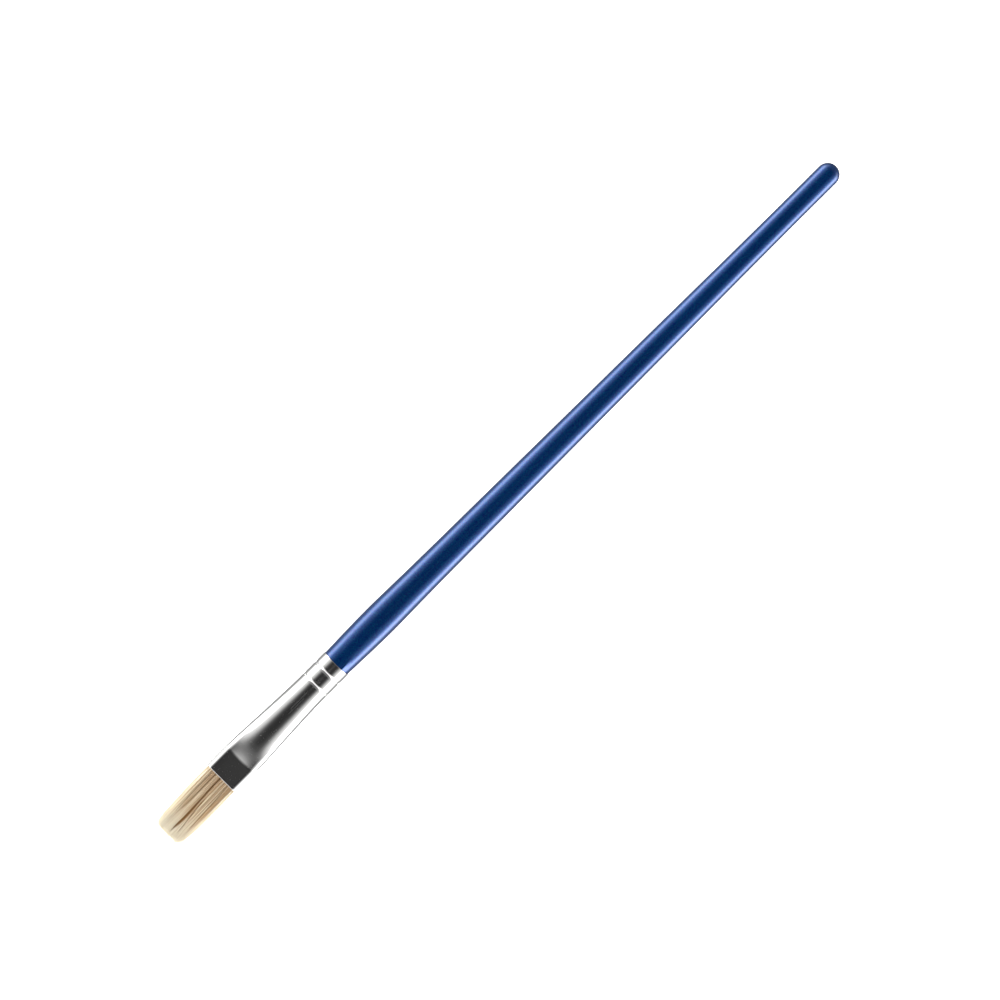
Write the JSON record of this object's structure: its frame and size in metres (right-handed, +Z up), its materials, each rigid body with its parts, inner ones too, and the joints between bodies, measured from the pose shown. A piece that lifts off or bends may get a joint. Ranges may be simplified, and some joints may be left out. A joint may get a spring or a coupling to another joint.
{
  "type": "paint brush",
  "caption": "Long-handled flat artist's paint brush: hog bristles in a seamless metal ferrule pressed flat at its mouth, crimped onto a blue-lacquered wooden handle.",
  "frame": {"origin": "on the surface the brush lies on, midway between the bristle tip and the end of the handle", "axes": "+X along the brush from its bristles towards the end of its handle, +Y across the width of the flat bristles, +Z up out of the ferrule's flat face"},
  "size_m": [0.3, 0.0126, 0.0109],
  "materials": {
    "handle_wood": "turned and sanded, unfinished",
    "blue_lacquer": "high gloss dark blue lacquer",
    "glue": "clear amber, cured",
    "polished_ferrule": "bright polished",
    "resin": "cured amber epoxy",
    "hog_bristle": "natural cream hog bristle with paler split tips"
  },
  "bodies": {
    "handle": {"handle_core": "handle_wood", "handle_lacquer": "blue_lacquer", "handle_glue": "glue", "ferrule": "polished_ferrule", "resin_plug": "resin", "bristle_roots": "hog_bristle"},
    "tuft": {"bristle_lock_1": "hog_bristle", "bristle_lock_2": "hog_bristle", "bristle_lock_3": "hog_bristle", "bristle_lock_4": "hog_bristle"}
  },
  "joints": [
    {"name": "bristle_flex", "type": "hinge", "parent": "handle", "child": "tuft", "pos_m": [-0.126, 0, 0.00543], "axis": [0, 1, 0], "range_deg": [-40, 40], "stiffness_Nm_per_rad": 0.02}
  ]
}
